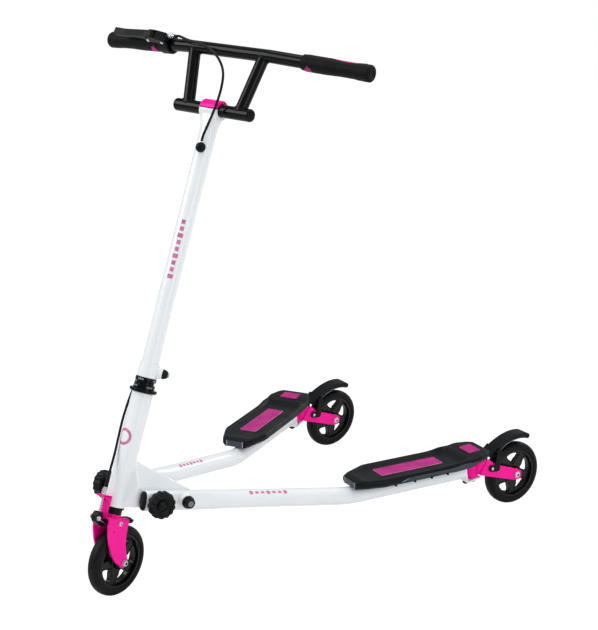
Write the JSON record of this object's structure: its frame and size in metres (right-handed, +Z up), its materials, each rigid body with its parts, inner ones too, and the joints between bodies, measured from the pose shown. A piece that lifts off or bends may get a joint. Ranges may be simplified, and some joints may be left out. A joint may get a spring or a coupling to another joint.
{
  "type": "stunt scooter",
  "caption": "Three-wheeled swing-arm scooter with a T-bar, hand brake, two folding trailing arms with footboards, swivelling rear wheels and fender brakes.",
  "frame": {"origin": "on the ground, under the middle of the scooter's box", "axes": "+Z up, +Y from the front wheel to the rear wheels, +X to the rider's left"},
  "size_m": [0.5704, 0.9238, 0.9351],
  "materials": {
    "white_paint": "gloss",
    "black_paint": "gloss",
    "pink_paint": "satin",
    "black_plastic": "satin",
    "deck_plastic": "textured",
    "tyre_rubber": "matte",
    "grip_rubber": "matte",
    "pad_rubber": "matte",
    "steel": "brushed",
    "cable_cover": "satin"
  },
  "bodies": {
    "frame": {"head_tube": "white_paint", "frame_gusset": "white_paint", "headset_lower_cup": "black_paint", "headset_upper_cup": "black_paint"},
    "steering": {"fork": "pink_paint", "front_axle": "steel", "brake_pivot_bolt": "steel", "steerer_tube": "steel", "headset_locknut": "black_paint", "cable_tab": "pink_paint", "cable_adjuster": "steel", "brake_spring": "steel", "brake_wire": "steel", "lower_brake_cable": "cable_cover"},
    "front_brake": {"front_brake_arm": "black_paint", "cable_anchor_bolt": "steel"},
    "front_wheel": {"front_rim": "black_plastic", "front_tyre": "tyre_rubber"},
    "t_bar": {"steering_post": "white_paint", "bar_clamp_cap": "pink_paint", "post_collar": "white_paint", "crossbar": "black_paint", "handlebar_tube": "black_paint", "left_riser": "black_paint", "right_riser": "black_paint", "left_grip": "grip_rubber", "right_grip": "grip_rubber", "lever_bracket": "black_plastic", "lever_adjuster": "steel", "upper_brake_cable": "cable_cover", "upper_cable_grommet": "black_plastic", "lower_cable_grommet": "black_plastic"},
    "bar_pin": {"bar_lock_pin": "black_plastic"},
    "lever": {"brake_lever": "black_plastic"},
    "left_arm": {"left_arm_tube": "white_paint", "left_arm_end_cap": "black_plastic", "left_deck": "deck_plastic", "left_foot_pad": "pad_rubber", "left_caster_bracket": "white_paint", "left_kingpin": "steel"},
    "left_knob": {"left_clamp_knob": "black_plastic"},
    "left_pull_pin": {"left_arm_pin": "black_plastic"},
    "left_caster": {"left_caster_yoke": "pink_paint", "left_rear_axle": "steel"},
    "left_rear_wheel": {"left_rear_rim": "black_plastic", "left_rear_tyre": "tyre_rubber"},
    "left_fender_brake": {"left_fender": "black_plastic"},
    "right_arm": {"right_arm_tube": "white_paint", "right_arm_end_cap": "black_plastic", "right_deck": "deck_plastic", "right_foot_pad": "pad_rubber", "right_caster_bracket": "white_paint", "right_kingpin": "steel"},
    "right_knob": {"right_clamp_knob": "black_plastic"},
    "right_pull_pin": {"right_arm_pin": "black_plastic"},
    "right_caster": {"right_caster_yoke": "pink_paint", "right_rear_axle": "steel"},
    "right_rear_wheel": {"right_rear_rim": "black_plastic", "right_rear_tyre": "tyre_rubber"},
    "right_fender_brake": {"right_fender": "black_plastic"}
  },
  "joints": [
    {"name": "steering_turn", "type": "hinge", "parent": "frame", "child": "steering", "pos_m": [-0.00113, -0.43712, 0.07715], "axis": [0.003, 0.3572, 0.934], "range_deg": [-50.7, 39.3]},
    {"name": "front_brake_turn", "type": "hinge", "parent": "steering", "child": "front_brake", "pos_m": [-0.00132, -0.40904, 0.13943], "axis": [-0.9949, -0.0928, 0.0387], "range_deg": [0, 7.2], "stiffness_Nm_per_rad": 3, "deforming": ["brake_spring", "brake_wire"]},
    {"name": "front_wheel_spin", "type": "hinge", "parent": "steering", "child": "front_wheel", "pos_m": [-0.00519, -0.39948, 0.06277], "axis": [0.9949, 0.0928, -0.0387], "continuous": true},
    {"name": "t_bar_lift", "type": "slide", "parent": "steering", "child": "t_bar", "axis": [0.003, 0.3572, 0.934], "range_m": [0, 0.04], "deforming": ["lower_brake_cable"]},
    {"name": "bar_pin_pull", "type": "slide", "parent": "t_bar", "child": "bar_pin", "axis": [0.6976, 0.6685, -0.2579], "range_m": [0, 0.006], "stiffness_N_per_m": 500},
    {"name": "lever_squeeze", "type": "hinge", "parent": "t_bar", "child": "lever", "pos_m": [-0.16094, -0.14964, 0.92364], "axis": [0.0214, -0.5709, -0.8208], "range_deg": [0, 9.5], "stiffness_Nm_per_rad": 4},
    {"name": "left_arm_fold", "type": "hinge", "parent": "frame", "child": "left_arm", "pos_m": [0.04498, -0.35123, 0.17109], "axis": [0.9677, -0.2521, -0.0035], "range_deg": [0, 50]},
    {"name": "left_knob_turn", "type": "hinge", "parent": "frame", "child": "left_knob", "pos_m": [0.04498, -0.35123, 0.17109], "axis": [0.9677, -0.2521, -0.0035], "continuous": true},
    {"name": "left_pin_pull", "type": "slide", "parent": "left_arm", "child": "left_pull_pin", "axis": [0.9677, -0.2521, -0.0035], "range_m": [0, 0.008], "stiffness_N_per_m": 500},
    {"name": "left_caster_swivel", "type": "hinge", "parent": "left_arm", "child": "left_caster", "pos_m": [0.23163, 0.30221, 0.0628], "axis": [-0.0464, -0.1496, 0.9877], "range_deg": [-43.7, 36.3]},
    {"name": "left_rear_wheel_spin", "type": "hinge", "parent": "left_caster", "child": "left_rear_wheel", "pos_m": [0.25687, 0.39742, 0.06281], "axis": [0.9666, -0.2562, 0.0066], "continuous": true},
    {"name": "left_fender_press", "type": "hinge", "parent": "left_caster", "child": "left_fender_brake", "pos_m": [0.23978, 0.33367, 0.08981], "axis": [-0.9666, 0.2562, -0.0066], "range_deg": [0, 7.8], "stiffness_Nm_per_rad": 3},
    {"name": "right_arm_fold", "type": "hinge", "parent": "frame", "child": "right_arm", "pos_m": [-0.04662, -0.35123, 0.17139], "axis": [0.9677, 0.2521, -0.0028], "range_deg": [0, 50]},
    {"name": "right_knob_turn", "type": "hinge", "parent": "frame", "child": "right_knob", "pos_m": [-0.04662, -0.35123, 0.17139], "axis": [-0.9677, -0.2521, 0.0028], "continuous": true},
    {"name": "right_pin_pull", "type": "slide", "parent": "right_arm", "child": "right_pull_pin", "axis": [-0.9677, -0.2521, 0.0028], "range_m": [0, 0.008], "stiffness_N_per_m": 500},
    {"name": "right_caster_swivel", "type": "hinge", "parent": "right_arm", "child": "right_caster", "pos_m": [-0.23397, 0.30221, 0.06431], "axis": [0.0528, -0.1496, 0.9873], "range_deg": [-12.2, 67.8]},
    {"name": "right_rear_wheel_spin", "type": "hinge", "parent": "right_caster", "child": "right_rear_wheel", "pos_m": [-0.21868, 0.3995, 0.06263], "axis": [0.9848, -0.1561, -0.0763], "continuous": true},
    {"name": "right_fender_press", "type": "hinge", "parent": "right_caster", "child": "right_fender_brake", "pos_m": [-0.22682, 0.33444, 0.09068], "axis": [-0.9848, 0.1561, 0.0763], "range_deg": [0, 7.8], "stiffness_Nm_per_rad": 3}
  ],
  "couplings": [
    {"joint": "front_brake_turn", "follows": "lever_squeeze", "ratio": 0.7578}
  ]
}
